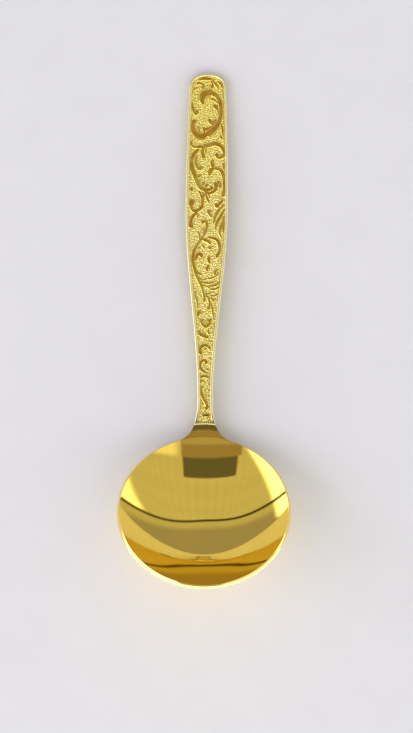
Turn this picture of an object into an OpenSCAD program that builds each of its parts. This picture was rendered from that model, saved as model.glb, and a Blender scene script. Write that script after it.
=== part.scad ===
// Serving ladle: a drawn round bowl with a short flared neck, and a struck handle
// whose tongue laps under the neck and is brazed to the back of the bowl.
// Sizes in millimetres, +Z up. The ladle lies as it does on a table: on the rest
// flat of the bowl, at the origin, and on the tip of the handle, along +Y.
//
// The bowl, the neck and the handle follow one line, the spine, which runs from the
// middle of the bowl over the rim to the tip. A place on a piece is its distance s
// along the spine, its offset x across it, and its depth d below the spine.

/* [Bowl] */
// Width of the bowl across the outside of its rim
bowl_d = 58; // [50:1:72]
// Depth of the bowl inside, below the plane of its rim
bowl_depth = 12; // [10:0.5:14]
// Thickness of the bowl's sheet
bowl_wall = 1.2; // [0.8:0.1:1.8]
// Slope of the bowl's side at the rim
rim_slope = 41; // [38:1:46]
// Slope at which the shallow base turns up into the side
base_slope = 29; // [27:1:32]
// Radius of the rounded edges of the bowl and the handle
edge_r = 0.35; // [0.2:0.05:0.4]
// Height ground off under the bowl for its rest flat
rest_flat = 0.25; // [0.1:0.05:0.4]

/* [Neck] */
// Length of the neck along the spine, from the rim to the step of the handle
neck_len = 4.6; // [3.6:0.1:6]
// Slope of the neck above the plane of the rim
neck_slope = 36; // [33:1:37]
// Radius of the bend that eases the rim into the neck
shoulder_r = 6; // [4.5:0.5:9]
// Length of straight neck between its two bends
neck_straight = 1.5; // [0.5:0.1:4]
// Width of the neck, before it flares to the rim
neck_w = 7; // [6:0.1:8.4]
// Radius in plan of the flare from the edge of the neck to the edge of the rim
neck_fillet = 9; // [6:0.5:14]

/* [Handle] */
// Length of the handle along the spine, from the step to the tip
handle_len = 128.4; // [105:0.1:160]
// Width of the handle at its waist, where it is narrowest
waist_w = 5.3; // [4.6:0.1:5.9]
// Distance from the step to the waist
waist_at = 8; // [5:0.5:14]
// Greatest width of the handle
handle_w = 15; // [11:0.1:18]
// Distance from the step to the widest place
widest_at = 78; // [60:1:90]
// Width that the sides would have at the tip if it were square
tip_w = 12.9; // [9:0.1:14.5]
// Length of the rounded tip
tip_round = 5.5; // [3:0.5:9]
// Thickness of the handle at its tip
tip_t = 1.9; // [1.5:0.1:3]
// Height of the step from the neck up to the top of the handle
step_h = 0.6; // [0.3:0.05:1]
// Rounding of the edges along the back of the handle
back_r = 0.7; // [0.3:0.05:0.8]
// Radius of the bend from the neck to the handle
bend_r = 45; // [30:1:70]
// Slope of the handle just past the bend
handle_slope = 25.5; // [18:0.5:32]
// Slope of the handle at its tip
tip_slope = 21; // [12:0.5:30]

/* [Panel] */
// Width of the plain border round the sunk panel
border_w = 1; // [0.7:0.1:1.4]
// Depth of the panel below its border
panel_depth = 0.45; // [0.2:0.05:0.7]
// Run of the sloping wall between border and panel
panel_draft = 0.25; // [0.1:0.05:0.4]
// Length of plain handle between the step and the panel
panel_start = 1.4; // [0.8:0.1:4]

/* [Joint] */
// Length of the tongue that laps under the neck and the back of the bowl
tongue_len = 8; // [6:0.5:9]
// Width of the tongue
tongue_w = 4.6; // [3.6:0.1:5.6]
// Thickness of the tongue at the step
tongue_t = 1.2; // [0.8:0.1:1.6]
// Thickness of the tongue at its end
tongue_end_t = 0.5; // [0.3:0.05:0.8]
// Gap between the tongue and the bowl, which the braze fills
braze_gap = 0.2; // [0.15:0.01:0.3]
// Clearance of the braze film from the faces on either side
braze_clear = 0.03; // [0.02:0.01:0.05]

/* [Hidden] */
gold = [0.86, 0.66, 0.22];
braze_gold = [0.72, 0.56, 0.24];

// Roundness of the tip's outline: 2 is an ellipse, larger is squarer
tip_power = 2.5;
// How far the face of the step leans back from its foot
step_draft = 0.15;
// Length over which the end of the tongue is rounded
tongue_round = tongue_w / 2;
// How far the braze film stays in from the edge of the tongue
braze_inset = 0.15;
// Half-widths of the panel's top and floor where it closes up, as shares of the handle's
closed_top = 0.3;
closed_floor = 0.15;

// Steps of the meshes: rows along the spine, columns round the bowl
bowl_rows = 19;
back_rows = 17;
row_crowding = 1.6;
neck_columns = 3;
fillet_columns = 9;
rim_column = 5;
handle_row = 2.5;
tongue_row = 0.75;
rounding = [for (turn = [0:45:90]) [1 - sin(turn), 1 - cos(turn)]];

// Radii of the base and the side of the bowl, from its width, depth and slopes
rim_r = bowl_d / 2 - bowl_wall * sin(rim_slope) + edge_r * (sin(rim_slope) + cos(rim_slope) - 1);
base_out = sin(base_slope);
base_up = 1 - cos(base_slope);
side_out = sin(rim_slope) - base_out;
side_up = cos(base_slope) - cos(rim_slope);
spread = base_out * side_up - side_out * base_up;
base_r = (rim_r * side_up - side_out * bowl_depth) / spread;
side_r = (base_out * bowl_depth - base_up * rim_r) / spread;

// The spine is a chain of tangent pieces, each [length, slope at start, slope at end]
function arc_len(r, turn) = r * turn * PI / 180;
s_rim = arc_len(base_r, base_slope) + arc_len(side_r, rim_slope - base_slope);
s_step = s_rim + neck_len;
s_tip = s_step + handle_len;
shoulder_len = arc_len(shoulder_r, rim_slope - neck_slope);
bend_len = arc_len(bend_r, neck_slope - handle_slope);
arch_len = s_tip - s_rim - shoulder_len - neck_straight - bend_len;
spine = [
    [arc_len(base_r, base_slope), 0, base_slope],
    [arc_len(side_r, rim_slope - base_slope), base_slope, rim_slope],
    [shoulder_len, rim_slope, neck_slope],
    [neck_straight, neck_slope, neck_slope],
    [bend_len, neck_slope, handle_slope],
    [arch_len, handle_slope, tip_slope]
];

// Distance out, distance up and slope after going s along one piece of the spine
function along(piece, s) =
    let (from = piece[1], turn = piece[2] - from, slope = from + turn * s / piece[0])
    turn == 0
        ? [s * cos(from), s * sin(from), slope]
        : let (r = piece[0] / (turn * PI / 180))
            [r * (sin(slope) - sin(from)), r * (cos(from) - cos(slope)), slope];

// Radius from the bowl's axis, height above the rim plane and slope at s on the spine
function on_spine(s, k = 0, out = 0, up = -bowl_depth) =
    let (last = k == len(spine) - 1, inside = last || s <= spine[k][0])
    let (step = along(spine[k], inside ? s : spine[k][0]))
    inside
        ? [out + step[0], up + step[1], step[2]]
        : on_spine(s - spine[k][0], k + 1, out + step[0], up + step[1]);

// Radius and height of the place at depth d below s on the spine
function below(s, d) =
    let (place = on_spine(s))
    [place[0] + d * sin(place[2]), place[1] - d * cos(place[2])];

// The same place in the bowl's frame, by azimuth from the handle or by offset x
function at_azimuth(s, azimuth, d) =
    let (place = below(s, d))
    [place[0] * sin(azimuth), place[0] * cos(azimuth), place[1]];
function at_offset(s, x, d) =
    let (place = below(s, d))
    [x, sqrt(place[0] * place[0] - x * x), place[1]];

// Plan of the neck: its straight edge and the rim are joined by a fillet circle.
// The neck is laid out flat, with rim_r plus the distance past the rim as radius.
neck_half = neck_w / 2;
neck_end = neck_len - braze_gap;
neck_end_r = rim_r + neck_end;
fillet_centre_r = rim_r + neck_fillet;
fillet_azimuth = asin((neck_half + neck_fillet) / fillet_centre_r);
fillet_top = [neck_half, fillet_centre_r * cos(fillet_azimuth)];
fillet_top_azimuth = atan2(fillet_top[0], fillet_top[1]);
neck_azimuth = neck_end_r > norm(fillet_top)
    ? asin(neck_half / neck_end_r)
    : fillet_azimuth - acos(
        (pow(fillet_centre_r, 2) + pow(neck_end_r, 2) - pow(neck_fillet, 2)) / (2 * fillet_centre_r * neck_end_r)
    );
step_half = below(s_step, 0)[0] * sin(neck_azimuth);

// Where the edge of the sheet lies on the spine, at an azimuth from the handle
function edge_at(azimuth) =
    let (away = abs(azimuth), mid = fillet_centre_r * cos(fillet_azimuth - away))
    away >= fillet_azimuth ? s_rim
        : away <= neck_azimuth ? s_rim + neck_end
        : away <= fillet_top_azimuth ? s_rim + neck_half / sin(away) - rim_r
        : s_rim + mid - sqrt(pow(mid, 2) - pow(fillet_centre_r, 2) + pow(neck_fillet, 2)) - rim_r;

// Azimuths of the columns round the bowl: close on the neck, even round the rim
function stretch(from, to, count) = [for (k = [0:count - 1]) from + (to - from) * k / count];
half_columns = concat(
    stretch(0, neck_azimuth, neck_columns),
    stretch(neck_azimuth, fillet_azimuth, fillet_columns),
    stretch(fillet_azimuth, 180, ceil((180 - fillet_azimuth) / rim_column))
);
columns = concat(half_columns, [180], [for (k = [len(half_columns) - 1:-1:1]) -half_columns[k]]);

// Rows from the middle to the edge, as shares of the way, crowded towards the edge
function rows(count) = [for (k = [1:count]) 1 - pow(1 - k / count, row_crowding)];

// Sides of the handle at a distance u past the step, and the same drawn in by inset
waist_half = waist_w / 2;
function ease(t) = t * t * (3 - 2 * t);
function side_half(u) =
    u < waist_at ? waist_half + (step_half - waist_half) * pow(1 - u / waist_at, 2)
        : u < widest_at ? waist_half + (handle_w / 2 - waist_half) * ease((u - waist_at) / (widest_at - waist_at))
        : (handle_w - (handle_w - tip_w) * pow((u - widest_at) / (handle_len - widest_at), 2)) / 2;
tip_start = handle_len - tip_round;
function handle_half(u, inset = 0) =
    let (t = min(max((u - tip_start) / (tip_round - inset), 0), 1))
    (side_half(u) - inset) * pow(1 - pow(t, tip_power), 1 / tip_power);

// Depths of the back of the handle and of its tongue
tongue_top = bowl_wall + braze_gap;
step_back = tongue_top + tongue_t;
tip_back = tip_t - step_h;
function handle_back(u) = tip_back + (step_back - tip_back) * pow(1 - u / handle_len, 2);

// Resting place: the back of the tip and the outside of the bowl both touch z = 0
tip_foot = below(s_tip - edge_r, tip_back);
base_centre = [0, base_r - bowl_depth];
side_centre = base_centre + (base_r - side_r) * [base_out, base_up - 1];
function lean(centre, r) =
    let (reach = tip_foot - centre)
    atan2(reach[1], reach[0]) + asin((r + bowl_wall - rest_flat) / norm(reach));
rests_on_base = lean(base_centre, base_r) <= base_slope;
rest_centre = rests_on_base ? base_centre : side_centre;
rest_r = (rests_on_base ? base_r : side_r) + bowl_wall - rest_flat;
rest_lean = lean(rest_centre, rests_on_base ? base_r : side_r);

module at_rest() {
    translate([0, 0, rest_r])
        rotate([-rest_lean, 0, 0])
            translate([0, -rest_centre[0], -rest_centre[1]])
                children();
}

// Closed skin over a stack of rings that all have the same number of points
function middle(ring) = [for (point = ring) 1] * ring / len(ring);
module skin(rings) {
    n = len(rings[0]);
    top = len(rings) - 1;
    points = concat([for (ring = rings) each ring], [middle(rings[0]), middle(rings[top])]);
    sides = [
        for (j = [0:top - 1], i = [0:n - 1])
            let (a = j * n + i, b = j * n + (i + 1) % n)
            each [[a, b, b + n], [a, b + n, a + n]]
    ];
    ends = [
        for (i = [0:n - 1])
            let (next = (i + 1) % n)
            each [[(top + 1) * n, next, i], [(top + 1) * n + 1, top * n + i, top * n + next]]
    ];
    polyhedron(points, concat(sides, ends));
}

// Bowl: inside from the middle to the edge, round the edge, and back outside
module bowl() {
    lip = concat(
        [for (turn = rounding) [turn[0] * edge_r, turn[1] * edge_r]],
        [for (k = [2:-1:0]) [rounding[k][0] * edge_r, bowl_wall - rounding[k][1] * edge_r]]
    );
    inside = [
        for (share = rows(bowl_rows))
            if (share < 1) [for (a = columns) at_azimuth(share * (edge_at(a) - edge_r), a, 0)]
    ];
    edge = [for (place = lip) [for (a = columns) at_azimuth(edge_at(a) - place[0], a, place[1])]];
    back = rows(back_rows);
    outside = [
        for (k = [back_rows - 2:-1:0])
            [for (a = columns) at_azimuth(back[k] * (edge_at(a) - edge_r), a, bowl_wall)]
    ];
    color(gold) difference() {
        at_rest() skin(concat(inside, edge, outside));
        translate([-bowl_d / 2, -bowl_d / 2, -bowl_depth])
            cube([bowl_d, bowl_d, bowl_depth]);
    }
}

// One ring across the handle or its tongue: half of it from the top round to the back
function section(s, half, top, back, panel_half, panel_foot, panel_d) =
    let (top_r = min(edge_r, half / 4), low_r = min(back_r, half / 3, (back - top) / 3))
    let (right = concat(
        [[0, top + panel_d], [panel_foot / 2, top + panel_d], [panel_foot, top + panel_d], [panel_half, top]],
        [for (turn = rounding) [half - turn[0] * top_r, top + turn[1] * top_r]],
        [for (k = [2:-1:0]) [half - rounding[k][0] * low_r, back - rounding[k][1] * low_r]],
        [[half / 2, back], [0, back]]
    ))
    let (left = [for (k = [len(right) - 2:-1:1]) [-right[k][0], right[k][1]]])
    [for (place = concat(right, left)) at_offset(s, place[0], place[1])];

// Ring of the bar at a distance u past the step, with the sunk panel in its top
panel_end = handle_len - border_w;
function bar_ring(u) =
    let (half = handle_half(u))
    let (end_share = min(max((u - handle_len + edge_r) / edge_r, 0), 1))
    let (end_lift = edge_r * (1 - sqrt(1 - end_share * end_share)))
    let (fall = min(u - panel_start, panel_end - u) / panel_draft)
    let (panel_half = max(handle_half(u, border_w), half * closed_top))
    section(
        s_step + u, half, end_lift - step_h, handle_back(u) - end_lift,
        panel_half, max(panel_half - panel_draft, half * closed_floor),
        panel_depth * min(max(fall, 0), 1)
    );

// Ring of the tongue at a distance v behind the step
function tongue_half(v) =
    let (t = max(v - tongue_len + tongue_round, 0) / tongue_round)
    tongue_w / 2 * sqrt(1 - t * t);
function tongue_ring(v) =
    let (half = tongue_half(v), back = step_back + (tongue_end_t - tongue_t) * v / tongue_len)
    section(s_step - v, half, tongue_top, back, half * closed_top, half * closed_floor, 0);

// Places of the rings of the tongue, from its end to the step
tongue_stops = concat(
    [for (turn = [80:-20:20]) tongue_len - tongue_round * (1 - sin(turn))],
    [for (v = [tongue_len - tongue_round:-tongue_row:step_draft + tongue_row / 2]) v],
    [step_draft]
);

// Handle: tongue, step and bar in one loft, from the end of the tongue to the tip
module handle() {
    panel_tip = panel_end - panel_draft;
    stops = concat(
        [0, panel_start, panel_start + panel_draft],
        [for (u = [panel_start + handle_row:handle_row:tip_start - handle_row / 2]) u],
        stretch(tip_start, panel_tip, 5),
        [panel_tip, panel_end],
        [for (turn = [20:15:80]) panel_end + border_w * sin(turn)]
    );
    color(gold) at_rest() skin(concat(
        [for (v = tongue_stops) tongue_ring(v)],
        [for (u = stops) bar_ring(u)]
    ));
}

// Braze: the film of filler metal between the tongue and the back of the bowl
module braze_film() {
    film_top = bowl_wall + braze_clear;
    film_back = tongue_top - braze_clear;
    shares = [-1:0.5:1];
    color(braze_gold) at_rest() skin([
        for (v = tongue_stops)
            if (v > braze_gap)
                let (half = tongue_half(v) - braze_inset)
                concat(
                    [for (share = shares) at_offset(s_step - v, half * share, film_top)],
                    [for (share = shares) at_offset(s_step - v, -half * share, film_back)]
                )
    ]);
}

bowl();
handle();
braze_film();
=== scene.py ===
# %% [markdown]
# # A gilt serving ladle, dressed for its picture
#
# The ladle is two pieces of metal: a bowl drawn from sheet, and a struck handle brazed under its neck. The
# CAD model gives their real sizes and places, and this lesson gives them their looks. Each piece is first
# made flat, in millimetres, as its blank is in the workshop, and is then pressed onto the same curve that
# the CAD model follows, in metres, so that nothing has to be fitted by eye.

# %% Load the CAD model
import math

import bmesh
import bpy
import numpy as np
from mathutils import Matrix, Vector


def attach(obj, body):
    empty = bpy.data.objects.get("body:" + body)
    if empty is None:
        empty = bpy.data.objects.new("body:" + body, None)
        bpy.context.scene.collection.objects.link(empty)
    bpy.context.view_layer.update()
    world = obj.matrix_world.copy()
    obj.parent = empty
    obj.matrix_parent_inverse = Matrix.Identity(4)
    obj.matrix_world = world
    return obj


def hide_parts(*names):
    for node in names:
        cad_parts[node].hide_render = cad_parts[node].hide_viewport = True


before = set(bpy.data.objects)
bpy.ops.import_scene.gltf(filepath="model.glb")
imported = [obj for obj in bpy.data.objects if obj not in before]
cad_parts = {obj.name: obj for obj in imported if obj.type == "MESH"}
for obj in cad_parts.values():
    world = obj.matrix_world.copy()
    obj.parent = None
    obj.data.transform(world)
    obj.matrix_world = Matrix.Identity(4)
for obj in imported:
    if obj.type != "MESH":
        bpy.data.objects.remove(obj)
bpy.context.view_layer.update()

MM = 0.001


# %% [markdown]
# ## The spine
#
# The bowl, the neck and the handle follow one line from the middle of the bowl, over the rim, to the tip.
# It is a chain of arcs: base, side, shoulder, straight neck, bend and a long arch. Where two arcs meet, the
# slope of the CAD line is smooth but its curvature jumps, and a mirror polish shows such a jump as a kink
# in every reflection. A polisher's wheel rounds it away, so here each jump is spread over a short stretch.

# %% The spine of the ladle
bowl_d, bowl_depth, bowl_wall, edge_r, rest_flat = 58.0, 12.0, 1.2, 0.35, 0.25
rim_slope, base_slope, neck_slope, handle_slope, tip_slope = np.radians([41.0, 29.0, 36.0, 25.5, 21.0])
neck_len, shoulder_r, neck_straight, neck_w, neck_fillet = 4.6, 6.0, 1.5, 7.0, 9.0
handle_len, bend_r, step_h, tip_t, braze_gap, tongue_t = 128.4, 45.0, 0.6, 1.9, 0.2, 1.2

edge_rounding = edge_r * (math.sin(rim_slope) + math.cos(rim_slope) - 1)
rim_r = bowl_d / 2 - bowl_wall * math.sin(rim_slope) + edge_rounding
arc_out = np.array([math.sin(base_slope), math.sin(rim_slope) - math.sin(base_slope)])
arc_up = np.array([1 - math.cos(base_slope), math.cos(base_slope) - math.cos(rim_slope)])
base_r, side_r = np.linalg.solve([arc_out, arc_up], [rim_r, bowl_depth])
s_rim = base_r * base_slope + side_r * (rim_slope - base_slope)
s_step = s_rim + neck_len
s_tip = s_step + handle_len

# each knot: its distance along the spine, the slope there, and how far its jump in curvature is spread
shoulder_end = s_rim + shoulder_r * (rim_slope - neck_slope)
bend_start = shoulder_end + neck_straight
bend_end = bend_start + bend_r * (neck_slope - handle_slope)
knots = [
    (0.0, 0.0, 0.0),
    (base_r * base_slope, base_slope, 4.5),
    (s_rim, rim_slope, 0.25),
    (shoulder_end, neck_slope, 0.25),
    (bend_start, neck_slope, 0.7),
    (bend_end, handle_slope, 3.0),
    (s_tip, tip_slope, 0.0),
]


def ramp(distance, spread):
    """0 before a knot and the distance after it, with a parabola over the spread."""
    if spread == 0:
        return np.maximum(distance, 0)
    bent = (np.clip(distance, -spread, spread) + spread) ** 2 / (4 * spread)
    return np.where(distance > spread, distance, bent)


past_tip, spine_points = 2.0, 20001
s_table = np.linspace(0, s_tip + past_tip, spine_points)
slope_table = np.zeros_like(s_table)
rate = 0.0
for (s_from, slope_from, spread), (s_to, slope_to, _) in zip(knots, knots[1:]):
    new_rate = (slope_to - slope_from) / (s_to - s_from)
    slope_table += (new_rate - rate) * ramp(s_table - s_from, spread)
    rate = new_rate
step_table = np.diff(s_table)
middle_slope = (slope_table[1:] + slope_table[:-1]) / 2
r_table = np.concatenate([[0], np.cumsum(step_table * np.cos(middle_slope))])
z_table = np.concatenate([[0], np.cumsum(step_table * np.sin(middle_slope))]) - bowl_depth


def below(s, d):
    """Radius from the bowl's axis and height over the rim plane, at depth d below s on the spine."""
    slope = np.interp(s, s_table, slope_table)
    r = np.interp(s, s_table, r_table) + d * np.sin(slope)
    return r, np.interp(s, s_table, z_table) - d * np.cos(slope)


# the ladle leans until the bowl and the back of the tip both touch the table
tip_back = tip_t - step_h
tip_foot = np.array(below(s_tip - edge_r, tip_back))
base_centre = np.array([0, base_r - bowl_depth])
rest_r = base_r + bowl_wall - rest_flat
reach = tip_foot - base_centre
rest_lean = math.atan2(reach[1], reach[0]) + math.asin(rest_r / np.linalg.norm(reach))


def at_rest(x, y, z):
    """Points of the bowl's own frame, in millimetres, as the ladle lies on the table, in metres."""
    up = z - base_centre[1]
    lean_cos, lean_sin = math.cos(rest_lean), math.sin(rest_lean)
    return np.stack([x, y * lean_cos + up * lean_sin, up * lean_cos - y * lean_sin + rest_r], -1) * MM


rim_now = below(s_rim, 0)
print(f"rim {rim_now[0]:.3f} out and {rim_now[1]:.3f} up, in the CAD model {rim_r:.3f} and 0")
print(f"the ladle leans by {math.degrees(rest_lean):.2f} degrees")

# %% [markdown]
# ## Helpers for edit mode
#
# Blender's mesh tools act on what is selected, so each step first picks its faces or edges in code, by
# where they are and which way they face, as a modeller picks them with the mouse. Each finished piece also
# keeps a value from 0 to 1 on its corners, its lift: how high it stands in the relief. The finishes read
# it: polishing reaches what stands proud, a pale painted highlight lies on the highest edges, a painted
# dark reflection lies on the tops of the scrolls, and what lies low is darker, partly film and partly
# painted shade.

# %% Helpers for selecting and pressing
def deselect():
    bpy.ops.object.select_all(action="DESELECT")


def make_active(piece):
    """Selects one object alone, as a click on it does."""
    deselect()
    bpy.context.view_layer.objects.active = piece
    piece.select_set(True)


def pick(kind, test):
    """In edit mode, selects just the vertices, edges or faces that pass the test, and says how many."""
    mesh = bpy.context.object.data
    bpy.ops.mesh.select_mode(type={"verts": "VERT", "edges": "EDGE", "faces": "FACE"}[kind])
    bpy.ops.mesh.select_all(action="DESELECT")
    shape = bmesh.from_edit_mesh(mesh)
    found = [part for part in getattr(shape, kind) if test(part)]
    for part in found:
        part.select_set(True)
    shape.select_flush_mode()
    bmesh.update_edit_mesh(mesh)
    return len(found)


def coordinates(piece):
    flat = np.empty(len(piece.data.vertices) * 3)
    piece.data.vertices.foreach_get("co", flat)
    return flat.reshape(-1, 3)


def move_to(piece, points):
    piece.data.vertices.foreach_set("co", np.asarray(points, float).ravel())
    piece.data.update()


def set_lift(piece, lift):
    """Keeps how high each vertex stands in the relief, from 0 to 1, for the finishes to read."""
    kept = piece.data.attributes.new("lift", "FLOAT", "POINT")
    kept.data.foreach_set("value", np.clip(lift, 0, 1).astype(np.float32))


def apply_modifier(piece, kind, **settings):
    modifier = piece.modifiers.new(kind.title(), kind)
    for key, value in settings.items():
        setattr(modifier, key, value)
    make_active(piece)
    bpy.ops.object.modifier_apply(modifier=modifier.name)


def finish_piece(piece, name, material, angle=35):
    """Names a finished piece, smooths its shading and makes it ride with the ladle."""
    make_active(piece)
    bpy.ops.object.shade_smooth_by_angle(angle=math.radians(angle))
    piece.name = piece.data.name = name
    piece.data.materials.clear()
    piece.data.materials.append(material)
    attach(piece, "root")
    piece.data.calc_loop_triangles()
    print(f"{name}: {len(piece.data.vertices)} vertices, {len(piece.data.loop_triangles)} triangles")


print("helpers are ready for", len(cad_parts), "CAD nodes")

# %% [markdown]
# ## Gold
#
# The ladle is plated base metal. Gold has no diffuse colour: what the eye sees is the room, tinted by the
# metal. So every finish is a Metallic shader with a warm yellow tint, and the finishes differ in roughness,
# in fine wiping marks and in tone: darker in what lies low, partly a film where cloth doesn't reach and
# partly painted shade, a painted dark reflection on the tops of the scrolls, redder towards the tip, and a
# pale painted highlight on the highest edges. Two effects are shared by all of them, so each is built once
# as a node group.

# %% Node helpers
def new_group(name, inputs, outputs):
    group = bpy.data.node_groups.new(name, "ShaderNodeTree")
    for label, kind, value in inputs:
        socket = group.interface.new_socket(label, in_out="INPUT", socket_type=kind)
        socket.default_value = value
    for label, kind in outputs:
        group.interface.new_socket(label, in_out="OUTPUT", socket_type=kind)
    return group, group.nodes.new("NodeGroupInput").outputs, group.nodes.new("NodeGroupOutput").inputs


def add(tree, kind, settings=None, **sockets):
    """Adds a node; keywords fill its input sockets, by name or as i and a number, with a value or a link."""
    node = tree.nodes.new("ShaderNode" + kind)
    for key, value in (settings or {}).items():
        setattr(node, key, value)
    for label, value in sockets.items():
        numbered = label[0] == "i" and label[1:].isdigit()
        socket = node.inputs[int(label[1:]) if numbered else label.replace("_", " ")]
        if isinstance(value, bpy.types.NodeSocket):
            tree.links.new(value, socket)
        else:
            socket.default_value = value
    return node


def noise(tree, place, scale, detail=2.0, **more):
    return add(tree, "TexNoise", Vector=place, Scale=scale, Detail=detail, **more).outputs["Fac"]


def ranged(tree, value, low, top, to_low=0.0, to_top=1.0):
    """Maps a value from one range to another, held at both ends."""
    node = add(tree, "MapRange", Value=value, From_Min=low, From_Max=top, To_Min=to_low, To_Max=to_top)
    return node.outputs[0]


def math_node(tree, operation, first, second):
    return add(tree, "Math", {"operation": operation}, i0=first, i1=second).outputs[0]


def blend(tree, share, first, second):
    return add(tree, "Mix", {"data_type": "RGBA"}, i0=share, i6=first, i7=second).outputs[2]


print("node helpers are ready")

# %% The shared groups
def wiping_marks():
    """Fine hairlines from wiping and polishing: roughness to add, and a height for bump."""
    group, given, out = new_group(
        "wiping marks",
        [("Strength", "NodeSocketFloat", 0.05)],
        [("Streaks", "NodeSocketFloat"), ("Height", "NodeSocketFloat")],
    )
    place = add(group, "TexCoord").outputs["Object"]
    streaks = []
    for turn, stretch in ((0.35, (900, 40, 900)), (-0.5, (60, 1100, 900))):
        mapped = add(group, "Mapping", Vector=place, Rotation=(0, 0, turn), Scale=stretch)
        streaks.append(noise(group, mapped.outputs[0], 1.0, detail=3.0, Roughness=0.6))
    both = math_node(group, "MULTIPLY", *streaks)
    mask = ranged(group, both, 0.2, 0.45)
    group.links.new(math_node(group, "MULTIPLY", mask, given["Strength"]), out["Streaks"])
    group.links.new(both, out["Height"])
    return group


def plating_tone():
    """Slow drift of the plate's colour, a darker tone between two heights, and a pale painted highlight on
    high edges.
    """
    group, given, out = new_group(
        "plating tone",
        [
            ("Gold", "NodeSocketColor", (1, 0.7, 0.2, 1)),
            ("Film", "NodeSocketColor", (0.6, 0.3, 0.06, 1)),
            ("Film amount", "NodeSocketFloat", 0.3),
            ("Film from", "NodeSocketFloat", 0.75),
            ("Film to", "NodeSocketFloat", 0.0),
            ("Patchiness", "NodeSocketFloat", 0.2),
            ("Worn", "NodeSocketColor", (1, 0.93, 0.54, 1)),
            ("Worn amount", "NodeSocketFloat", 0.0),
        ],
        [("Colour", "NodeSocketColor"), ("Lift", "NodeSocketFloat")],
    )
    place = add(group, "TexCoord").outputs["Object"]
    reach = add(group, "SeparateXYZ", Vector=place).outputs["Y"]
    lift = add(group, "Attribute", {"attribute_name": "lift"}).outputs["Fac"]
    drift, spots = noise(group, place, 90.0), noise(group, place, 320.0)

    # how much darkening lies at each place: film and painted shade in what lies low, a painted dark
    # reflection on the tops of the scrolls
    darkened = ranged(group, lift, given["Film from"], given["Film to"])
    darkened = math_node(group, "MULTIPLY", darkened, given["Film amount"])
    bare = math_node(group, "MULTIPLY", ranged(group, spots, 0.4, 0.65), given["Patchiness"])
    patchy = math_node(group, "MULTIPLY", darkened, math_node(group, "SUBTRACT", 1.0, bare))
    faint = ranged(group, drift, 0.3, 0.7, 0.0, 0.08)
    darkening_share = add(group, "Math", {"operation": "ADD", "use_clamp": True}, i0=patchy, i1=faint).outputs[0]

    # its hue is olive near the bowl and redder towards the tip, where the plate is richer too
    redder = ranged(group, reach, 0.05, 0.14, 0.522, 0.492)
    hue = math_node(group, "ADD", redder, ranged(group, drift, 0.35, 0.65, -0.02, 0.02))
    film = add(group, "HueSaturation", Hue=hue, Color=given["Film"]).outputs[0]
    richer = ranged(group, reach, 0.10, 0.14, 1.0, 1.1)
    gold = add(group, "HueSaturation", Saturation=richer, Color=given["Gold"]).outputs[0]

    # a pale painted highlight on the highest parts: the border of the handle and the rim of the bowl
    highlighted = math_node(group, "MULTIPLY", ranged(group, lift, 0.6, 0.95), given["Worn amount"])
    colour = blend(group, highlighted, blend(group, darkening_share, gold, film), given["Worn"])
    group.links.new(colour, out["Colour"])
    group.links.new(lift, out["Lift"])
    return group


marks_group = wiping_marks()
tone_group = plating_tone()
print("groups:", marks_group.name, "and", tone_group.name)

# %% [markdown]
# ## Five finishes
#
# The wheel leaves the bowl a mirror, with a faint pale painted highlight on its rim. The border of the
# handle is polished too and has a stronger pale painted highlight, the stippled ground between the scrolls
# is duller, the scrolls are burnished with a smooth tool and have a painted dark reflection on their tops,
# and the braze keeps the satin of metal that has run. One function makes them all, each with its own tone,
# roughness and marks. Braze is thin and hardly seen, so the CAD node itself is its piece.

# %% The finishes
def gold_finish(
    name, gold, film, film_amount, polish, dull, marks, heights=(0.75, 0.0), worn=0.0, patchiness=0.2
):
    """Metallic gold: polish is the roughness of what stands proud, dull that of what lies low."""
    material = bpy.data.materials.new(name)
    material.use_nodes = True
    tree = material.node_tree
    tree.nodes.clear()
    shader = add(tree, "BsdfPrincipled", Metallic=1.0)
    add(tree, "OutputMaterial", Surface=shader.outputs[0])
    tone = add(
        tree, "Group", {"node_tree": tone_group}, Gold=gold, Film=film, Film_amount=film_amount,
        Film_from=heights[0], Film_to=heights[1], Worn_amount=worn, Patchiness=patchiness,
    )
    streaks = add(tree, "Group", {"node_tree": marks_group}, Strength=0.05)
    rough = ranged(tree, tone.outputs["Lift"], 0.2, 0.8, dull, polish)
    scuffed = math_node(tree, "ADD", rough, streaks.outputs["Streaks"])
    bump = add(tree, "Bump", Strength=marks, Distance=0.00002, Height=streaks.outputs["Height"])
    tree.links.new(tone.outputs["Colour"], shader.inputs["Base Color"])
    tree.links.new(scuffed, shader.inputs["Roughness"])
    tree.links.new(bump.outputs[0], shader.inputs["Normal"])
    return material


GOLD = (0.98, 0.69, 0.115, 1)
BRIGHT_GOLD = (1.0, 0.86, 0.28, 1)
BRAZE_GOLD = (0.80, 0.55, 0.18, 1)
# the darker film for the low parts, which also serves as painted shade in the panel and between the dots
FILM_AND_SHADE = (0.50, 0.24, 0.04, 1)
# painted dark reflection, laid on the tops of the scrolls where their polish would mirror dark surroundings
PAINTED_SCROLL_REFLECTION = (0.56, 0.28, 0.018, 1)
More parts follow.
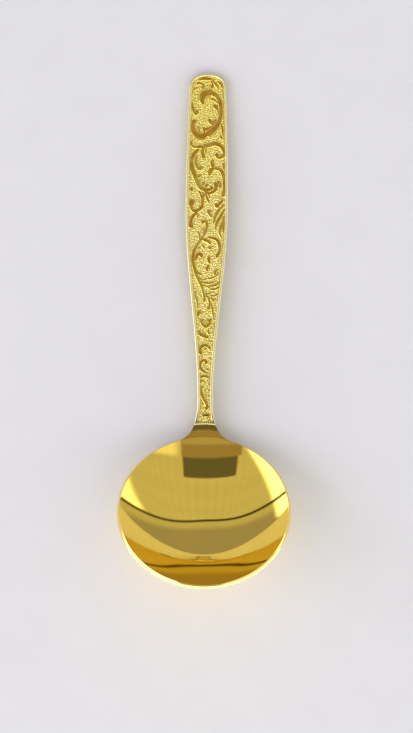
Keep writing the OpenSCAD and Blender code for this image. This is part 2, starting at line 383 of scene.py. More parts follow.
# the pale painted highlight is faint on the rim of the bowl and strong on the border of the handle
polished = gold_finish("polished gold", GOLD, FILM_AND_SHADE, 0.0, polish=0.06, dull=0.03, marks=0.12, worn=0.25)
struck = gold_finish("struck gold", BRIGHT_GOLD, FILM_AND_SHADE, 0.3, polish=0.08, dull=0.25, marks=0.2, worn=0.9)
stippled = gold_finish(
    "stippled gold", BRIGHT_GOLD, FILM_AND_SHADE, 0.14, polish=0.16, dull=0.22, marks=0.1, heights=(0.3, 0.0)
)
burnished = gold_finish(
    "burnished gold", BRIGHT_GOLD, PAINTED_SCROLL_REFLECTION, 1.0, polish=0.12, dull=0.15, marks=0.1, heights=(0.58, 0.82),
    patchiness=0.3,
)
braze = gold_finish("braze", BRAZE_GOLD, FILM_AND_SHADE, 0.4, polish=0.35, dull=0.45, marks=0.3)
braze_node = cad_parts["braze_film"]
braze_node.data.materials.clear()
braze_node.data.materials.append(braze)
print("finishes:", ", ".join(finish.name for finish in (polished, struck, stippled, burnished, braze)))

# %% [markdown]
# ## Blank of the bowl
#
# The bowl starts as a flat disc of sheet with a tab for the neck. A disc of rings is grown from a circle,
# by extruding its edge outwards, and the tab is grown in the same way from the edges of the disc that face
# the handle. A sphere cut in half would be quicker, but the bowl isn't round in section, and its skin has
# to run on into the neck without a seam.

# %% Grow the disc
neck_half = neck_w / 2
neck_end = neck_len - braze_gap
fillet_centre_r = rim_r + neck_fillet
fillet_azimuth = math.asin((neck_half + neck_fillet) / fillet_centre_r)
fillet_top_r = math.hypot(neck_half, fillet_centre_r * math.cos(fillet_azimuth))


def neck_azimuth(past):
    """Half-angle of the neck at a distance past the rim: a fillet circle, then a straight edge."""
    r = rim_r + past
    if r > fillet_top_r:
        return math.asin(neck_half / r)
    opening = (fillet_centre_r**2 + r**2 - neck_fillet**2) / (2 * fillet_centre_r * r)
    return fillet_azimuth - math.acos(min(1, opening))


neck_columns, rim_columns = 44, 236
columns = neck_columns + rim_columns
hub_share, rings, ring_crowding = 0.012, 84, 1.25
ring_r = s_rim * (1 - (1 - np.linspace(hub_share, 1, rings)) ** ring_crowding)

deselect()
bpy.ops.mesh.primitive_circle_add(vertices=columns, radius=ring_r[0], fill_type="TRIFAN")
bowl = bpy.context.object
bpy.ops.object.mode_set(mode="EDIT")
pick("edges", lambda edge: edge.is_boundary)
for inner, outer in zip(ring_r, ring_r[1:]):
    grow = outer / inner
    bpy.ops.mesh.extrude_edges_move()
    bpy.ops.transform.resize(value=(grow, grow, 1), center_override=(0, 0, 0))
bpy.ops.object.mode_set(mode="OBJECT")

# crowd the columns on the neck, whose half-angle takes its share of them
flat = coordinates(bowl)
turn = np.arctan2(flat[:, 0], flat[:, 1])
even = neck_columns * math.pi / columns
crowded = np.interp(np.abs(turn), [0, even, math.pi], [0, fillet_azimuth, math.pi]) * np.sign(turn)
out = np.hypot(flat[:, 0], flat[:, 1])
move_to(bowl, np.stack([out * np.sin(crowded), out * np.cos(crowded), 0 * out], -1))
print(f"disc: {rings} rings of {columns} columns")

# %% Grow the tab
tab_rows, tab_crowding, slack = 26, 1.6, 1e-4
bpy.ops.object.mode_set(mode="EDIT")
tab_edges = pick(
    "edges",
    lambda edge: edge.is_boundary
    and all(abs(math.atan2(v.co.x, v.co.y)) < fillet_azimuth + slack for v in edge.verts),
)
past_before = 0.0
for past in neck_end * np.linspace(0, 1, tab_rows + 1)[1:] ** tab_crowding:
    bpy.ops.mesh.extrude_edges_move()
    narrower = neck_azimuth(past) / neck_azimuth(past_before)
    shape = bmesh.from_edit_mesh(bowl.data)
    for vert in [v for v in shape.verts if v.select]:
        azimuth = math.atan2(vert.co.x, vert.co.y) * narrower
        vert.co = ((s_rim + past) * math.sin(azimuth), (s_rim + past) * math.cos(azimuth), 0)
    bmesh.update_edit_mesh(bowl.data)
    past_before = past
rim_corners = pick("verts", lambda vert: vert.is_boundary)
bpy.ops.object.mode_set(mode="OBJECT")

# the edge of the sheet stands proud, and its lift carries a pale painted highlight
on_rim = np.empty(len(bowl.data.vertices), bool)
bowl.data.vertices.foreach_get("select", on_rim)
set_lift(bowl, on_rim)
print(f"blank of the bowl: {len(bowl.data.polygons)} faces, tab grown from {tab_edges} edges")
print(f"{rim_corners} corners on its edge")

# %% [markdown]
# ## Pressing the bowl
#
# The flat blank is pressed onto the spine: its distance from the middle becomes the distance along the
# spine. Solidify then gives the sheet its thickness, a bevel rounds the edge as the polisher's wheel does,
# more than the press leaves it, and a cut grinds the small flat on which the bowl rests.

# %% Press, thicken and round the bowl
polished_r, edge_segments = 0.5, 5
flat = coordinates(bowl)
azimuth = np.arctan2(flat[:, 0], flat[:, 1])
r, z = below(np.hypot(flat[:, 0], flat[:, 1]), 0)
move_to(bowl, at_rest(r * np.sin(azimuth), r * np.cos(azimuth), z))
apply_modifier(bowl, "SOLIDIFY", thickness=bowl_wall * MM, offset=-1, use_even_offset=True)
apply_modifier(
    bowl, "BEVEL", width=polished_r * MM, segments=edge_segments, limit_method="ANGLE",
    angle_limit=math.radians(60),
)
bpy.ops.object.mode_set(mode="EDIT")
bpy.ops.mesh.select_all(action="SELECT")
bpy.ops.mesh.bisect(plane_co=(0, 0, 0), plane_no=(0, 0, 1), use_fill=True, clear_inner=True, threshold=1e-7)
bpy.ops.object.mode_set(mode="OBJECT")
finish_piece(bowl, "drawn_bowl", polished)
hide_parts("bowl")

# %% [markdown]
# ## Plan of the handle
#
# The handle is struck in a die from a flat bar: a slab with a plain rounded border, a sunk panel, and a
# tongue at its lower end that laps under the bowl. Its plan narrows to a waist, swells, tapers again and
# ends in a flattened round. The corners of a circle are moved to that plan, which gives one face with the
# right number of corners in the right order.

# %% Plan of the handle
waist_w, waist_at, handle_w, widest_at = 5.3, 8.0, 15.0, 78.0
tip_w, tip_round, tip_power, tip_corners = 12.9, 5.5, 2.5, 22
tongue_len, tongue_w, tongue_end_t = 8.0, 4.6, 0.5
tongue_top = bowl_wall + braze_gap
step_back = tongue_top + tongue_t
bar_t = step_h + step_back
step_half = below(s_step, 0)[0] * math.sin(neck_azimuth(neck_end))
tip_start = handle_len - tip_round


def side_half(u):
    """Half the width of the handle at a distance u past the step, before the tip is rounded."""
    waist = waist_w / 2
    flare = waist + (step_half - waist) * (1 - u / waist_at) ** 2
    t = np.clip((u - waist_at) / (widest_at - waist_at), 0, 1)
    swell = waist + (handle_w / 2 - waist) * t * t * (3 - 2 * t)
    taper = (handle_w - (handle_w - tip_w) * ((u - widest_at) / (handle_len - widest_at)) ** 2) / 2
    return np.where(u < waist_at, flare, np.where(u < widest_at, swell, taper))


side_u = np.concatenate([[0], np.arange(0.5, tip_start, 1.0)])
tip_turn = np.radians(np.linspace(0, 90, tip_corners))
tip_u = tip_start + tip_round * np.sin(tip_turn) ** (2 / tip_power)
right_u = np.concatenate([side_u, tip_u])
right_x = np.concatenate([side_half(side_u), side_half(tip_u) * np.cos(tip_turn) ** (2 / tip_power)])
right_x[-1] = 0
plan_x = np.concatenate([right_x, -right_x[-2::-1]])
plan_u = np.concatenate([right_u, right_u[-2::-1]])

deselect()
bpy.ops.mesh.primitive_circle_add(vertices=len(plan_x), radius=1, fill_type="NGON")
handle = bpy.context.object
move_to(handle, np.stack([plan_x, plan_u, 0 * plan_x], -1))
print(f"plan of the handle: {len(plan_x)} corners, step {2 * step_half:.2f} wide")

# %% [markdown]
# ## Slab, tongue and panel
#
# The plan is extruded into a slab. The lower part of its end face is extruded again, step by step, into the
# tongue, whose end is then rounded. The top face is inset for the border and inset once more, downwards,
# for the panel: the second inset makes the sloped walls that let a struck piece leave its die.

# %% Slab, tongue, border and panel
border_w, panel_depth, panel_draft = 0.85, 0.45, 0.25
touch, tongue_step, tongue_inset = 0.01, 0.8, 0.02


def facing(face, axis, sign):
    return face.normal[axis] * sign > 0.9


bpy.ops.object.mode_set(mode="EDIT")
bpy.ops.mesh.select_all(action="SELECT")
bpy.ops.mesh.extrude_region_move(TRANSFORM_OT_translate={"value": (0, 0, -bar_t)})
bpy.ops.mesh.select_all(action="SELECT")
bpy.ops.mesh.normals_make_consistent(inside=False)

tongue_level = -step_h - tongue_top
pick("faces", lambda face: facing(face, 1, -1) and face.calc_center_median().y < touch)
bpy.ops.mesh.bisect(plane_co=(0, 0, tongue_level), plane_no=(0, 0, 1))
pick("faces", lambda face: facing(face, 1, -1) and face.calc_center_median().z < tongue_level)
bpy.ops.mesh.inset(thickness=tongue_inset)
tongue_round = tongue_w / 2
tongue_v = np.concatenate([
    np.arange(0.5, tongue_len - tongue_round, tongue_step),
    tongue_len - tongue_round * (1 - np.sin(np.radians(np.linspace(0, 80, 7)))),
])
for step_out in np.diff(np.concatenate([[0], tongue_v])):
    bpy.ops.mesh.extrude_region_move(TRANSFORM_OT_translate={"value": (0, -step_out, 0)})
shape = bmesh.from_edit_mesh(handle.data)
for vert in shape.verts:
    if vert.co.y < -0.4:
        bend_in = max(-vert.co.y - tongue_len + tongue_round, 0) / tongue_round
        vert.co.x = math.copysign(tongue_w / 2 * math.sqrt(1 - min(bend_in, 1) ** 2), vert.co.x)
bmesh.update_edit_mesh(handle.data)

pick("faces", lambda face: facing(face, 2, 1) and face.calc_center_median().z > -touch)
bpy.ops.mesh.inset(thickness=border_w, use_even_offset=True)
bpy.ops.mesh.inset(thickness=panel_draft, depth=-panel_depth, use_even_offset=True)
slab_faces = len(bmesh.from_edit_mesh(handle.data).faces)
print(f"slab: {slab_faces} faces before its edges are rounded")

# %% [markdown]
# ## Rounding and pressing the handle
#
# The edges are picked by the two kinds of face that they part, and bevelled: the border towards the outside
# and towards the panel, and the back. A flat slab can't bend, so cuts across and along it give it rows of
# corners. It is then pressed onto the spine, thinner towards the tip, and keeps the height of its relief as
# its lift.

# %% Round the edges and cut the rows
def is_top(face):
    return facing(face, 2, 1) and face.calc_center_median().z > -touch


def is_wall(face):
    return abs(face.normal.z) < 0.05


def is_draft(face):
    return 0.05 <= face.normal.z <= 0.9


def is_back(face):
    return facing(face, 2, -1)


def between(first, second):
    """Test for edges that lie between two kinds of face."""
    def test(edge):
        if len(edge.link_faces) != 2:
            return False
        a, b = edge.link_faces
        return first(a) and second(b) or first(b) and second(a)
    return test


# each rounding: the faces on both sides of the edge, its width and its segments
roundings = ((is_top, is_wall, 0.42, 5), (is_top, is_draft, 0.3, 4), (is_back, is_wall, 0.7, 4))
rounded = []
for first, second, width, segments in roundings:
    rounded.append(pick("edges", between(first, second)))
    bpy.ops.mesh.bevel(offset=width, segments=segments, affect="EDGES", clamp_overlap=True)

row_start, row_step, long_cuts = 2.0, 1.0, (-0.9, 0.0, 0.9)
cuts = [((0, u, 0), (0, 1, 0)) for u in np.arange(row_start, handle_len - 1, row_step)]
cuts += [((x, 0, 0), (1, 0, 0)) for x in long_cuts]
for place, across in cuts:
    bpy.ops.mesh.select_all(action="SELECT")
    bpy.ops.mesh.bisect(plane_co=place, plane_no=across)
bpy.ops.mesh.select_all(action="SELECT")
bpy.ops.mesh.remove_doubles(threshold=0.002)
bpy.ops.object.mode_set(mode="OBJECT")
print("edges rounded on border, panel and back:", rounded, "and", len(cuts), "cuts")

# %% Press the handle
def press_handle(piece):
    """Lays a flat piece on the spine: x across, y from the step to the tip, z up from the border's top."""
    x, u, up = coordinates(piece).T
    if "lift" not in piece.data.attributes:
        set_lift(piece, 1 + up / panel_depth)
    back = tip_back + (step_back - tip_back) * (1 - np.clip(u, 0, handle_len) / handle_len) ** 2
    thinned = -step_h + (up + step_h) * back / step_back
    tongue_thinning = 1 + (tongue_end_t / tongue_t - 1) * np.clip(-u / tongue_len, 0, 1)
    tongue = tongue_level + (up - tongue_level) * tongue_thinning
    up = np.where(up > -step_h, up, np.where(u < 0, tongue, thinned))
    r, z = below(s_step + u, -step_h - up)
    move_to(piece, at_rest(x, np.sqrt(r * r - x * x), z))


press_handle(handle)
finish_piece(handle, "struck_handle", struck, angle=30)
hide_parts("handle")

# %% [markdown]
# ## Scrollwork
#
# The panel carries running acanthus scrolls in low relief, a traditional ornament. Each scroll is one
# stroke of the chaser's tool: a line through a few points, thin where it starts, swelling in the middle,
# and often curled into a round bead at its end. The points were chosen one by one, from the great scroll at
# the tip down to the small curls at the step, so a list is the plainest way to keep them.

# %% Strokes of the scrollwork, from the tip to the step
# each stroke: widths at its start, middle and end, radius of the bead at its end, then its points (x, u)
strokes = [
    # crown of leaves under the tip
    ((0.5, 1, 0.6), 0, (-3.2, 124.3), (-2, 125), (0, 125), (1.6, 124.8)),
    ((0.5, 0.8, 0.6), 0.45, (0.8, 124.4), (1.4, 123.7), (1.7, 122.5), (1.2, 121.2)),
    ((0.4, 0.9, 0.4), 0, (1.6, 124.6), (2.9, 122.8), (3.5, 121.8), (3.8, 120.6)),
    ((0.4, 0.9, 0.4), 0, (3.3, 124.3), (4.2, 123.5), (4.9, 122.6), (5.1, 121.3)),
    ((0.4, 0.9, 0.6), 0.45, (-4.4, 122.6), (-3.3, 123.3), (-2.3, 123.1), (-1.7, 122.3), (-2, 121)),
    ((0.3, 0.7, 0.4), 0, (-5.2, 120.4), (-4.4, 121.3), (-3.3, 121.6)),
    ((0.3, 0.5, 0.3), 0, (0.2, 124.2), (-0.2, 123)),
    # great scroll: head, shoulder, foot and curl
    ((0.6, 2.5, 1.6), 0, (-1.5, 115), (-2, 116.8), (-1.8, 118.4), (-0.8, 119.4), (0.6, 119.7),
     (2.2, 119.4)),
    ((1.5, 1.4, 1.3), 0, (1.4, 119.5), (3.2, 118.4), (4.1, 116.8), (4.6, 115), (4.8, 113), (4.6, 110.4),
     (4, 108.6)),
    ((1.3, 2, 2.4), 0, (4.5, 109.8), (4, 108.4), (3.2, 107), (2.2, 105.8), (0.9, 104.5), (-0.6, 103.5)),
    ((2.4, 1.9, 1.2), 0.65, (-0.2, 103.7), (-2, 103.1), (-3.4, 103.6), (-4.5, 104.7), (-5.1, 106.2),
     (-5.1, 107.5), (-4.8, 108.6), (-3.9, 109)),
    ((0.6, 1.1, 0.5), 0, (-1.6, 106.5), (-0.7, 105.8), (0.5, 106), (1.9, 106.9), (3, 108)),
    ((0.9, 0.9, 0.4), 0, (0.8, 117.2), (2, 117.1), (3.2, 116.2), (4, 115)),
    ((0.4, 0.8, 0.8), 0.6, (3.6, 110.8), (3.8, 112), (3.4, 113.4), (2.8, 114.4), (2, 114.8)),
    ((0.6, 1.3, 0.9), 0, (3, 109.6), (2.3, 108.4), (1.4, 108.1), (0.8, 108.8), (0.6, 109.8)),
    ((0.6, 0.8, 0.5), 0, (-2.6, 104.2), (-3, 105.3), (-3.3, 107.3)),
    ((0.6, 0.8, 0.5), 0, (-1, 104), (-1.2, 105.2), (-1.6, 106.6)),
    ((0.6, 0.8, 0.5), 0, (-0.4, 104), (0, 104.8), (0.7, 105.8)),
    ((0.4, 0.9, 0.8), 0.6, (-5.5, 116), (-5.2, 113.8), (-4.8, 112.2), (-4.1, 111.9), (-3.7, 113)),
    ((0.5, 0.6, 0.5), 0, (-4.4, 119.2), (-4.4, 118.5)),
    ((0.5, 0.8, 0.4), 0, (4.8, 108.2), (5.3, 105.6), (5.5, 103.2)),
    ((0.4, 0.6, 0.5), 0.35, (4.4, 104.2), (4.8, 103), (5.1, 102.2)),
    # second scroll: band with a curl, and two stems that close round a hook
    ((0.4, 0.8, 0.6), 0, (-4.8, 102), (-5.5, 101.2), (-5.6, 100.4), (-5.2, 99.4), (-4, 98.9)),
    ((0.6, 0.7, 0.6), 0, (-4.5, 100.9), (-4.3, 100.3)),
    ((0.7, 1.3, 1), 0, (-4.4, 99.1), (-2, 99.2), (-0.6, 99.6), (0.8, 99.8), (2.4, 100.4), (4, 100),
     (5.2, 99)),
    ((1.1, 0.9, 0.7), 0.5, (4.2, 99.9), (5.2, 99), (5.9, 97.6), (5.9, 96.4), (5.2, 95.5), (4.2, 95.1),
     (3.5, 95.7), (3.6, 96.9)),
    ((0.6, 1.1, 0.6), 0.45, (-1, 99.3), (-1.7, 97.4), (-1.5, 96), (-1.1, 94.6)),
    ((0.5, 0.6, 0.4), 0, (-0.2, 99.2), (-0.4, 98), (-0.6, 96.6)),
    ((0.8, 1.3, 1.2), 0, (-3, 98.4), (-4, 97.2), (-5, 95.8), (-5.5, 94), (-5.5, 92.8), (-5.2, 90.8),
     (-4.4, 88.8), (-3.8, 87.2)),
    ((1.2, 1.2, 0.7), 0.4, (-4.4, 88.8), (-3.8, 87.2), (-3.2, 85.6), (-2.4, 84.2), (-1, 83.4),
     (0.6, 83.2), (1.6, 83.7), (1.9, 84.6)),
    ((0.5, 0.9, 0.8), 0.5, (-3.6, 96), (-3.9, 94.6), (-3.8, 92.6), (-3.1, 91.1), (-2.2, 91.2),
     (-1.9, 92.1)),
    ((0.5, 1.2, 1), 0, (1.9, 94.6), (1.8, 93), (2.3, 91.3)),
    ((0.9, 1.3, 0.6), 0, (2.5, 91.1), (1.4, 90.5), (0.9, 89.4), (0.7, 88.2)),
    ((0.9, 1.1, 0.9), 0.55, (2.4, 91.2), (4, 91), (5.2, 90), (5.8, 88.4), (6.1, 87), (6.2, 85), (6.1, 83),
     (5.7, 81.6), (5.1, 80.8)),
    ((0.4, 0.8, 0.4), 0, (6, 93.4), (5.8, 92), (6.1, 90.6)),
    ((0.5, 0.9, 0.8), 0.6, (-1.3, 82.9), (0.6, 82), (1.8, 82.2), (2.8, 83), (3.3, 84.4), (2.9, 86.1)),
    ((0.6, 0.9, 0.5), 0, (3.4, 86.6), (4.2, 86), (4.7, 85), (4.3, 83.8)),
    ((0.7, 0.9, 0.6), 0, (-1.8, 84.6), (-1.3, 85.4), (-0.8, 86.3)),
    ((0.6, 0.8, 0.5), 0, (-0.9, 84.2), (0, 84.8), (0.5, 85.6)),
    ((0.7, 0.8, 0.6), 0, (-2.7, 85.2), (-2.7, 86.2), (-2.6, 87)),
    ((0.5, 0.7, 0.5), 0, (-3.2, 87.6), (-2.6, 88.3), (-2, 88.6)),
    ((0.4, 0.8, 0.6), 0.45, (-5.8, 84.4), (-5.4, 83.6), (-5.4, 82.5)),
    # leaves that fall from the second scroll, and the double curl on the left
    ((0.6, 0.9, 0.9), 0, (-2.8, 82.8), (-2.2, 81.6), (-1.6, 79.8), (-1.5, 78), (-1.8, 76.8),
     (-2.6, 75.9)),
    ((0.9, 0.9, 0.8), 0.75, (-1.8, 76.8), (-2.6, 75.9), (-3.7, 75.4), (-4.9, 75.8), (-5.4, 77),
     (-5.4, 78.4), (-4.8, 79.8)),
    ((0.5, 0.7, 0.4), 0, (-1.6, 82.6), (-1.1, 81.2), (-1, 80)),
    ((0.5, 0.7, 0.4), 0, (-0.6, 82.5), (0, 80.4), (0.6, 78.8), (1, 78)),
    ((0.5, 0.6, 0.3), 0, (0.2, 82), (0.8, 81), (1.1, 80)),
    ((0.7, 1, 0.8), 0.6, (-3, 75), (-4.4, 74), (-5.2, 72.8), (-5.5, 71.6), (-5.5, 70.4), (-4.9, 69.4)),
    ((0.5, 0.6, 0.4), 0, (-3.2, 74.4), (-3.2, 73.5), (-3.1, 72.6)),
    # great leaf on the right
    ((0.5, 0.8, 0.7), 0.5, (2.3, 73.2), (1.3, 73.8), (0.8, 74.8), (1, 76)),
    ((0.5, 0.8, 0.6), 0.5, (5.7, 79.8), (4.4, 78), (3.6, 77.2), (3.4, 78.4)),
    ((0.4, 0.8, 0.4), 0, (6.2, 78), (4.9, 76.6), (3.5, 74.5), (2.7, 72.4), (2.3, 70.6)),
    ((0.4, 0.8, 0.4), 0, (6.2, 76.4), (5, 73.8), (3.8, 71.4), (3.2, 69.6), (3.1, 68.2)),
    ((0.4, 0.8, 0.4), 0, (6.2, 74), (5.6, 71.4), (4.8, 69), (4.6, 67.4), (5.4, 65.6)),
    ((0.4, 0.7, 0.4), 0, (6.2, 71.6), (5.9, 69.4), (5.8, 67.4)),
    # stem through the middle, with its hook above and its arcs on the right
    ((0.6, 0.9, 0.7), 0.45, (-1.9, 64.9), (-0.7, 67), (0, 69), (0.1, 70.6), (-0.4, 71.6), (-1.2, 71.5),
     (-1.6, 70.6)),
    ((0.4, 0.6, 0.4), 0, (-1.1, 66.2), (-1, 67.6), (-1.1, 69)),
    ((0.6, 0.7, 0.4), 0, (-2.3, 64.8), (-2.5, 66.6), (-2.9, 67.9)),
    ((0.6, 1, 0.9), 0, (-1.6, 65.4), (-2.6, 64), (-3.4, 62.8), (-4.2, 61.2), (-4.6, 59.4), (-4.6, 57.4),
     (-4.3, 55.8), (-3.6, 53)),
    ((0.9, 0.85, 0.7), 0.45, (-4.3, 55.8), (-3.6, 53), (-3, 51.4), (-2.2, 49.6), (-1.4, 47.8), (-0.9, 46),
     (-0.6, 44.6), (-0.6, 43.4), (-1, 42.6)),
    ((0.6, 0.9, 0.5), 0, (-1.6, 65.2), (-0.3, 64.8), (0.6, 64.4), (1.6, 63.2)),
    ((0.5, 1, 0.6), 0.4, (0.4, 65.8), (2, 65.6), (3.6, 65), (4.4, 63.5), (4.7, 61.6), (4.2, 60),
     (3.3, 58.5)),
    ((0.5, 0.6, 0.5), 0.45, (0.9, 62.4), (1.3, 61.9), (1.7, 61.4)),
    ((0.4, 0.6, 0.4), 0, (-2.9, 61.6), (-2.4, 62), (-2, 62.2)),
    ((0.4, 0.6, 0.4), 0, (-1.6, 63.2), (-1, 62.4), (-0.6, 61.4)),
    ((0.5, 0.9, 0.7), 0.45, (-3.8, 57.2), (-3.5, 58.8), (-2.6, 59.8), (-1.9, 59.6), (-1.4, 58.5)),
    ((0.6, 0.7, 0.6), 0, (-2.8, 58.8), (-2.6, 58.2)),
    ((0.5, 0.9, 0.5), 0, (1.3, 59), (0.8, 57.8), (1.3, 56.2)),
    ((0.5, 0.9, 0.5), 0, (1, 55.8), (0.2, 54.4), (0.5, 53.4)),
    ((0.5, 0.8, 0.5), 0, (4, 54.4), (3.1, 53.4), (3, 52)),
    # leaves from the stem to the right
    ((0.5, 0.6, 0.3), 0, (-3.6, 53.8), (-2.4, 52.7), (-1.3, 52.2)),
    ((0.5, 0.5, 0.3), 0, (-2.9, 51.6), (-1.6, 50.7), (-0.6, 50.5), (0.3, 50.9)),
    ((0.5, 0.55, 0.3), 0, (-2.2, 50.2), (-1, 49.6), (0.8, 49.3), (2.2, 49.6), (3.8, 50.4)),
    ((0.5, 0.5, 0.3), 0, (-1.4, 48.8), (0.2, 48.2), (1.7, 47.5)),
    ((0.5, 0.5, 0.3), 0, (-0.8, 45.6), (0.6, 45.5), (1.8, 45.9), (3, 46.2)),
    ((0.4, 0.5, 0.3), 0, (0.2, 50.9), (2, 51.2), (3.4, 52), (4.5, 53.6)),
    ((0.4, 0.6, 0.3), 0, (0.6, 48.3), (2.4, 48.4), (3.7, 49), (4.8, 50.4)),
    ((0.4, 0.6, 0.3), 0, (1.2, 47.3), (2.6, 47.2), (3.8, 47.6), (4.7, 48.6)),
    ((0.4, 0.5, 0.3), 0, (1.2, 45), (2.4, 44.8), (3.4, 45.1), (4.2, 45.8)),
    ((0.4, 0.5, 0.3), 0, (2, 43.6), (2.9, 43.4), (3.8, 43.9)),
    ((0.6, 0.7, 0.5), 0.45, (-0.4, 45), (0.6, 44.4), (1.1, 43.2), (1.3, 42), (1.1, 40.8), (0.4, 39.8)),
    ((0.5, 0.7, 0.4), 0, (1.4, 44.4), (2.2, 43.6), (2.9, 42.6)),
    ((0.4, 0.7, 0.4), 0, (-3.3, 46.8), (-3.6, 45.2), (-3.4, 44), (-3, 42.8), (-2.8, 41.6), (-2.8, 40)),
    # small curls down to the step
    ((0.5, 0.9, 0.8), 0.5, (-2.7, 37.2), (-2.7, 38.2), (-2.2, 39), (-1.6, 38.7)),
    ((0.3, 0.6, 0.4), 0, (1.6, 43), (2, 41.4), (2.3, 39.4), (2.6, 37.6), (2.9, 36)),
    ((0.3, 0.4, 0.3), 0, (2.3, 40.8), (2.9, 40.4), (3.3, 40.6)),
    ((0.3, 0.4, 0.3), 0, (2.5, 38.8), (3, 38.4), (3.3, 38.5)),
    ((0.3, 0.4, 0.3), 0, (1.9, 34.2), (2.2, 33), (2.5, 32.4)),
    ((0.5, 0.9, 0.7), 0.45, (1.9, 36.8), (1.4, 35.4), (0.9, 34.4), (-0.1, 34), (-1, 34.6), (-1.4, 35.6),
     (-1, 36.5)),
    ((0.5, 0.6, 0.5), 0.4, (1.1, 36.4), (0.8, 36.1), (0.4, 35.7)),
    ((0.6, 1.1, 0.6), 0, (-2.5, 32.8), (-2, 31.5), (-0.7, 30.8), (0.4, 30.3), (1.2, 30.1)),
    ((0.4, 0.7, 0.5), 0, (1.1, 33), (0.9, 32), (1.5, 31.2)),
    ((0.4, 0.6, 0.4), 0, (1.3, 29.2), (1.5, 28.8), (1.8, 28.3)),
    ((0.5, 0.9, 0.6), 0.45, (1.7, 25.8), (1, 26.8), (0.1, 27.4), (-1.1, 27.1), (-1.8, 26.2), (-1.8, 25),
     (-1.2, 24.2)),
    ((0.4, 0.6, 0.4), 0, (0.4, 26.5), (0, 26), (-0.4, 25.6)),
    ((0.4, 0.5, 0.4), 0, (1.2, 25), (1.6, 24.4)),
    ((0.4, 0.5, 0.4), 0, (1.4, 22.9), (1.8, 22.2)),
    ((0.5, 0.8, 0.6), 0.4, (0.9, 17.6), (-0.2, 18), (-1.1, 18.6), (-1.6, 19.4), (-1.8, 20.3),
     (-1.6, 21.3), (-1, 21.9), (-0.2, 22.1), (0.3, 21.5), (-0.3, 20.8)),
    ((0.4, 0.6, 0.4), 0, (0.4, 19.2), (0.8, 18.8), (1.2, 18.5)),
    ((0.5, 0.8, 0.5), 0, (1.2, 15.7), (0.8, 16.3), (-0.2, 16.6), (-1.1, 16.4), (-1.6, 15.6)),
    ((0.5, 0.8, 0.6), 0.4, (-1.6, 14.4), (-1.3, 15), (-0.7, 15.2)),
    ((0.4, 0.5, 0.4), 0, (1.1, 14.3), (1.3, 13.6), (1.6, 13.4)),
    ((0.5, 0.9, 0.6), 0.4, (-0.8, 13.3), (-1.3, 12.2), (-1.3, 11.2), (-1, 10), (-0.4, 8.6), (0.5, 7.1),
     (0.7, 5.9), (0, 4.9)),
    ((0.4, 0.5, 0.4), 0, (1.1, 12.2), (1.1, 11.2)),
    ((0.4, 0.5, 0.4), 0, (1.2, 10.3), (1.3, 9)),
    ((0.4, 0.6, 0.4), 0, (-1, 7.9), (-0.9, 7.3), (-0.5, 6.4)),
    ((0.6, 1, 0.6), 0, (-1.1, 2.7), (0, 3.2), (1, 3.1), (1.5, 2.5)),
]
drawn_len, drawn_w = 127.0, 14.9  # size of the handle on the drawing that the strokes were read from
print(f"{len(strokes)} strokes through {sum(len(stroke) - 2 for stroke in strokes)} points")

# %% [markdown]
# ## Lines of the strokes
#
# A smooth curve runs through each stroke's points, with a radius that swells and tapers, and a fine line
# follows each large scroll on its inner side, as the vein of a leaf does. The strokes become splines of one
# curve object, so that a single bevel can give all of them their section.

# %% Lay out the strokes
stroke_step, line_samples, thinnest = 0.16, 24, 0.02
# all but the great scroll are drawn bolder: distances from the step, then factors for width and bead
swell_at, swell_by, bead_by = (40, 99, 104), (1.6, 1.55, 1.3), (1.9, 1.9, 1.7)
line_gap, line_r, large_w, large_len = 0.34, 0.19, 0.9, 4.0


def smooth_line(points):
    """A Catmull-Rom curve through the points, in even steps: places and distances along it."""
    points = np.array(points, float)
    ends = np.vstack([2 * points[0] - points[1], points, 2 * points[-1] - points[-2]])
    t = np.linspace(0, 1, line_samples, endpoint=False)[:, None]
    runs = []
    for p0, p1, p2, p3 in zip(ends, ends[1:], ends[2:], ends[3:]):
        bend = 2 * p0 - 5 * p1 + 4 * p2 - p3, 3 * (p1 - p2) + p3 - p0
        runs.append((2 * p1 + (p2 - p0) * t + bend[0] * t**2 + bend[1] * t**3) / 2)
    fine = np.vstack([*runs, points[-1:]])
    along = np.concatenate([[0], np.cumsum(np.linalg.norm(np.diff(fine, axis=0), axis=1))])
    even = np.linspace(0, along[-1], max(8, round(along[-1] / stroke_step)))
    return np.stack([np.interp(even, along, fine[:, axis]) for axis in (0, 1)], -1), even


def round_off(distance, radius):
    """Rounds the end of a stroke: 0 at the end, 1 from a radius away."""
    return np.sqrt(np.clip(1 - (1 - np.minimum(distance / radius, 1)) ** 2, 0, 1))


def stroke_radius(along, widths, bead):
    """Half the width of a stroke along its length: a swell, round ends, and a bead."""
    start, middle, end = (width / 2 for width in widths)
    length = along[-1]
    t = along / length
    swell = (1 - t) ** 2 * start + 2 * t * (1 - t) * (2 * middle - (start + end) / 2) + t * t * end
    radius = swell * np.minimum(round_off(along, start), round_off(length - along, end))
    if bead:
        radius = np.maximum(radius, np.sqrt(np.clip(bead**2 - (along - length + bead) ** 2, 0, None)))
    return np.maximum(radius, thinnest)


def fine_line(places, radius):
    """A thin line beside the middle of a stroke, on the side to which the stroke turns."""
    ahead = np.gradient(places, axis=0)
    ahead /= np.linalg.norm(ahead, axis=1)[:, None]
    turning = np.sum(ahead[:-1, 0] * ahead[1:, 1] - ahead[:-1, 1] * ahead[1:, 0])
    inward = np.column_stack([-ahead[:, 1], ahead[:, 0]]) * np.sign(turning)
    part = slice(len(places) // 6, 3 * len(places) // 4)
    beside = (places + inward * (radius + line_gap)[:, None])[part]
    share = np.linspace(0, 1, len(places))[part]
    share = (share - share[0]) / (share[-1] - share[0])
    return beside, line_r * np.sqrt(np.clip(np.sin(math.pi * share), 0.01, 1))


